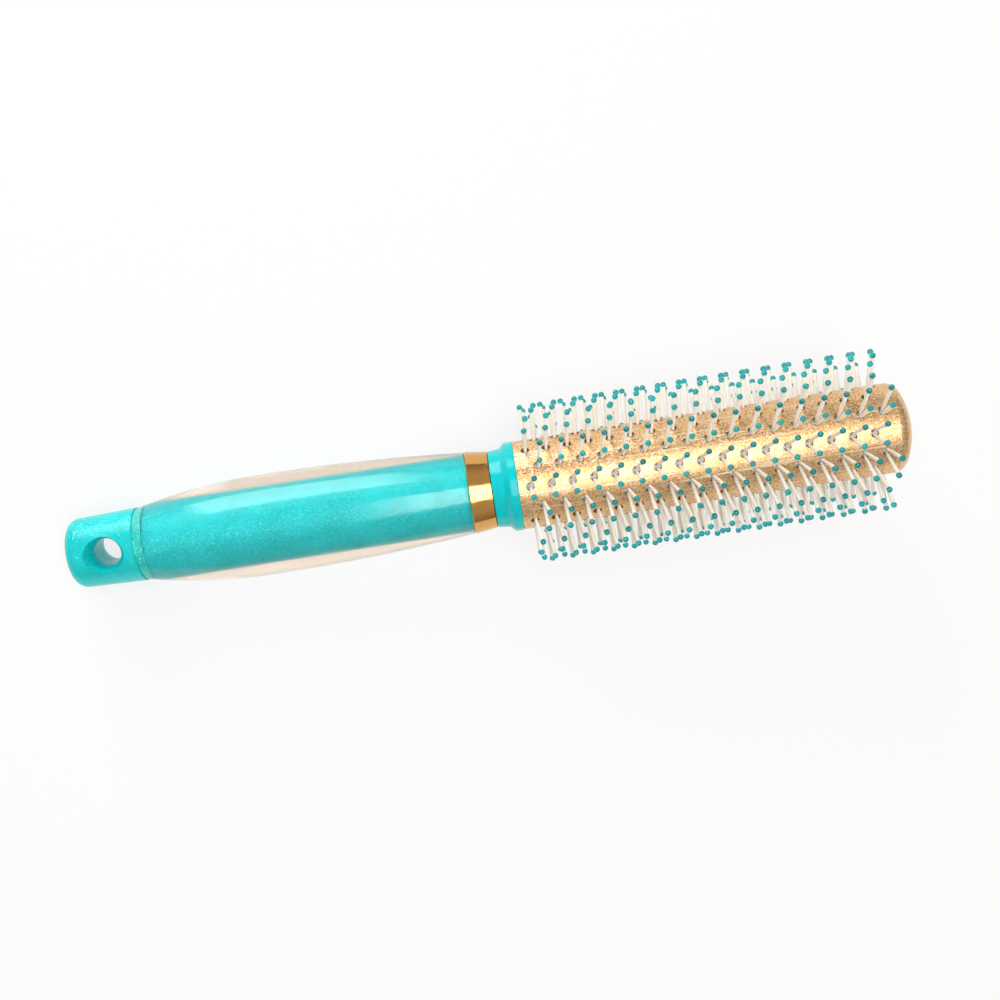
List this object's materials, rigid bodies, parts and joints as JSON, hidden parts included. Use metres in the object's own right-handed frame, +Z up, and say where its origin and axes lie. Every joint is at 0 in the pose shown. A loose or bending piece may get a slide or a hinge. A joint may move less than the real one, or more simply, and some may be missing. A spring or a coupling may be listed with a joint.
{
  "type": "round hair brush",
  "caption": "Round styling brush: a gold metal barrel with rows of ball-tipped pins in pairs, a turquoise collar, a clear gel grip over a turquoise core, and a hanging hole.",
  "frame": {"origin": "under the middle of the brush, on the surface that it lies on", "axes": "+X towards the head and +Z up; the brush lies at rest on the rim of its hanging end and the first ring of pin balls, so its own axis rises towards the head"},
  "size_m": [0.2388, 0.0448, 0.053],
  "materials": {
    "end_piece": "moulded ABS with pearl pigment, glossy",
    "core": "moulded ABS with pearl flake, glossy, seen through the grip",
    "clear_grip": "clear thermoplastic elastomer, polished",
    "ring": "gold anodised aluminium, polished",
    "collar": "moulded ABS, glossy",
    "barrel": "gold anodised aluminium, drawn, satin with fine scratches",
    "carrier": "moulded plastic, as moulded",
    "strips": "nylon, as moulded",
    "pins": "nylon filament, semi-gloss",
    "balls": "epoxy, glossy"
  },
  "bodies": {
    "root": {"hang_cap": "end_piece", "handle_core": "core", "grip_sleeve": "clear_grip", "trim_ring": "ring", "neck_collar": "collar", "barrel": "barrel", "pin_carrier": "carrier", "strip_01": "strips", "strip_02": "strips", "strip_03": "strips", "strip_04": "strips", "strip_05": "strips", "strip_06": "strips", "strip_07": "strips", "strip_08": "strips", "strip_09": "strips", "strip_10": "strips", "strip_11": "strips", "strip_12": "strips", "strip_13": "strips", "strip_14": "strips", "pins_01": "pins", "pins_02": "pins", "pins_03": "pins", "pins_04": "pins", "pins_05": "pins", "pins_06": "pins", "pins_07": "pins", "pins_08": "pins", "pins_09": "pins", "pins_10": "pins", "pins_11": "pins", "pins_12": "pins", "pins_13": "pins", "pins_14": "pins", "balls_01": "balls", "balls_02": "balls", "balls_03": "balls", "balls_04": "balls", "balls_05": "balls", "balls_06": "balls", "balls_07": "balls", "balls_08": "balls", "balls_09": "balls", "balls_10": "balls", "balls_11": "balls", "balls_12": "balls", "balls_13": "balls", "balls_14": "balls"}
  },
  "joints": []
}
